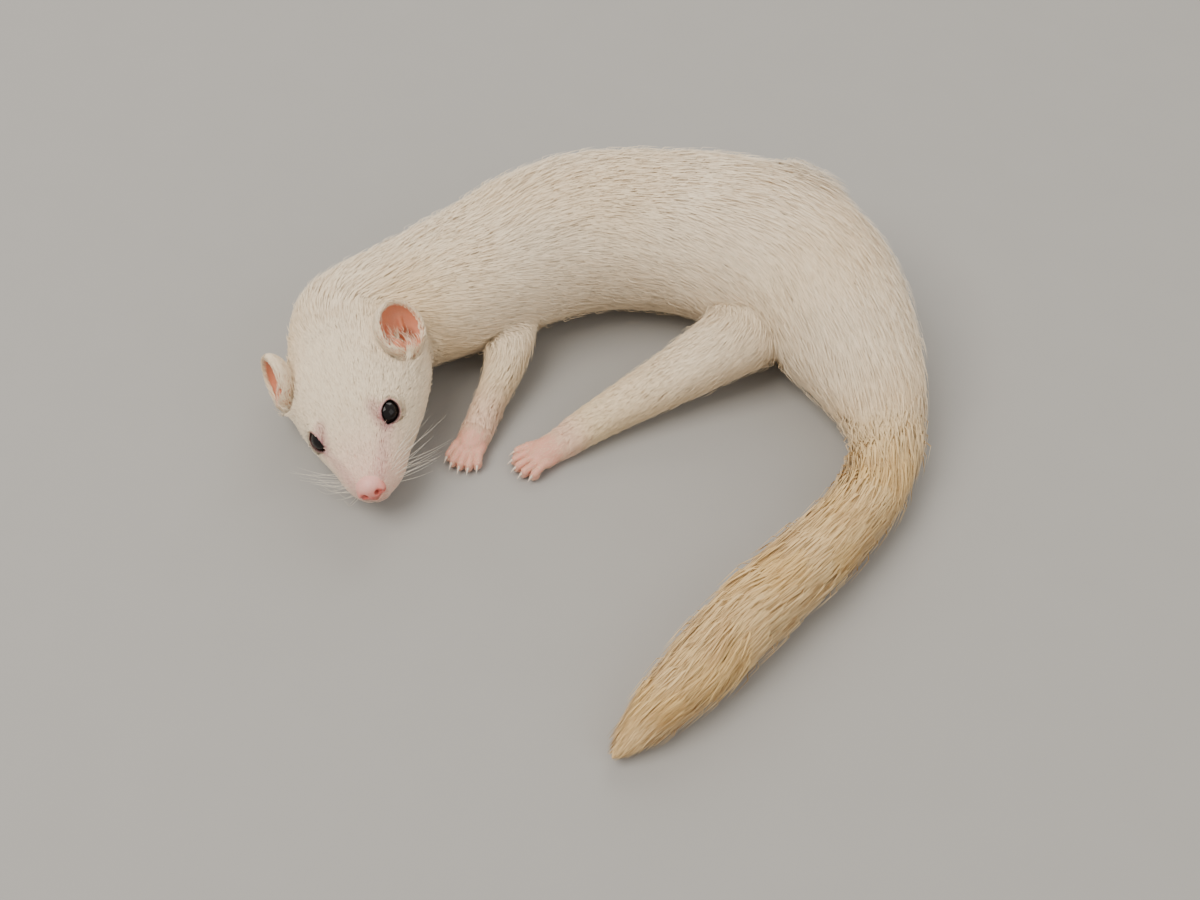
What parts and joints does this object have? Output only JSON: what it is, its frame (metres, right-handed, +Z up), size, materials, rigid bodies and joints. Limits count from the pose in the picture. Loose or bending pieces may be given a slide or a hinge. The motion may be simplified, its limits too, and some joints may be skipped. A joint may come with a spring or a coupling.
{
  "type": "ferret",
  "caption": "Still, life-size white ferret lying on its belly, curled round to one side, with its chin on the ground and its legs and bushy tail laid out.",
  "frame": {"origin": "on the ground under the ribs, in the middle of the flat that the belly rests on", "axes": "+Z up; +X towards the rump along the middle of the back; -Y towards the nose and the tip of the tail"},
  "size_m": [0.2676, 0.2788, 0.07],
  "materials": {
    "coat": "short dense white fur with a warm cream tint",
    "tail_coat": "coarser cream-yellow fur in long tufts",
    "bare_skin": "soft pink skin under thin pale hair",
    "ear_skin": "thin pink skin, matt",
    "nose_skin": "moist pink skin, slightly shiny",
    "eye": "black, wet gloss"
  },
  "bodies": {
    "root": {"head": "coat", "nose": "nose_skin", "eye_left": "eye", "eye_right": "eye", "ear_left": "ear_skin", "ear_right": "ear_skin", "neck": "coat", "chest": "coat", "waist": "coat", "hips": "coat", "tail_root": "tail_coat", "tail_middle": "tail_coat", "tail_tip": "tail_coat", "foreleg_left": "coat", "forepaw_left": "bare_skin", "foreleg_right": "coat", "forepaw_right": "bare_skin", "hindleg_left": "coat", "hindpaw_left": "bare_skin", "hindleg_right": "coat", "hindpaw_right": "bare_skin"}
  },
  "joints": []
}
